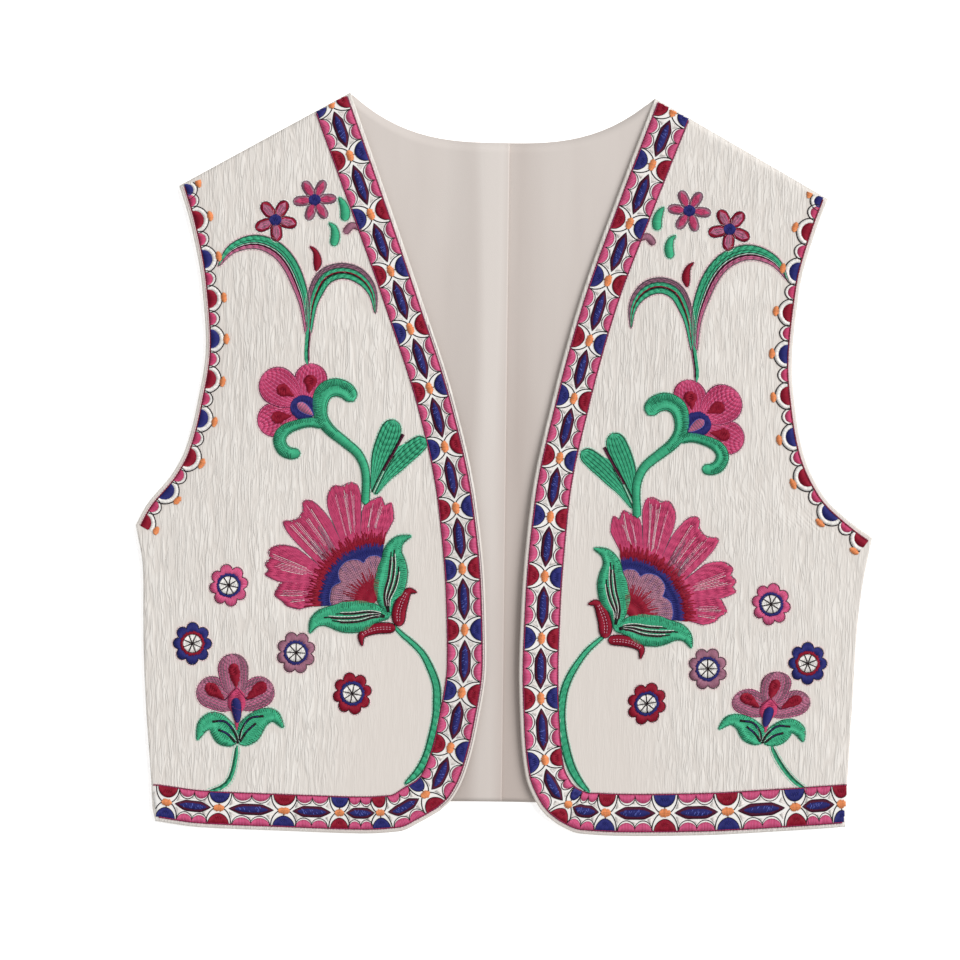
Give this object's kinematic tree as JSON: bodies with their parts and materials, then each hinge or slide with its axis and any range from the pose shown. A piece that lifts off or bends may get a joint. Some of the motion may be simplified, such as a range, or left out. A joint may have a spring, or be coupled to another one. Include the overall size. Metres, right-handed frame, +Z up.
{
  "type": "waistcoat",
  "caption": "Open-fronted sleeveless waistcoat in crinkled off-white crepe with embroidered borders, flowers and scalloped armhole edging, laid flat on its back.",
  "frame": {"origin": "centre of the waistcoat's outline, on the surface it lies on", "axes": "+Z up from the surface, +Y towards the neck, +X to the right as seen from above"},
  "size_m": [0.4984, 0.5015, 0.012],
  "materials": {
    "crinkled_crepe": "crinkled matt crepe",
    "smooth_lining": "smooth fine lining",
    "border_thread": "satin stitch in rayon thread",
    "edging_thread": "satin stitch in rayon thread"
  },
  "bodies": {
    "root": {"back_panel": "crinkled_crepe", "back_lining": "smooth_lining", "front_left": "crinkled_crepe", "front_right": "crinkled_crepe", "front_border_left": "border_thread", "front_border_right": "border_thread", "armhole_edging_left": "edging_thread", "armhole_edging_right": "edging_thread"}
  },
  "joints": []
}
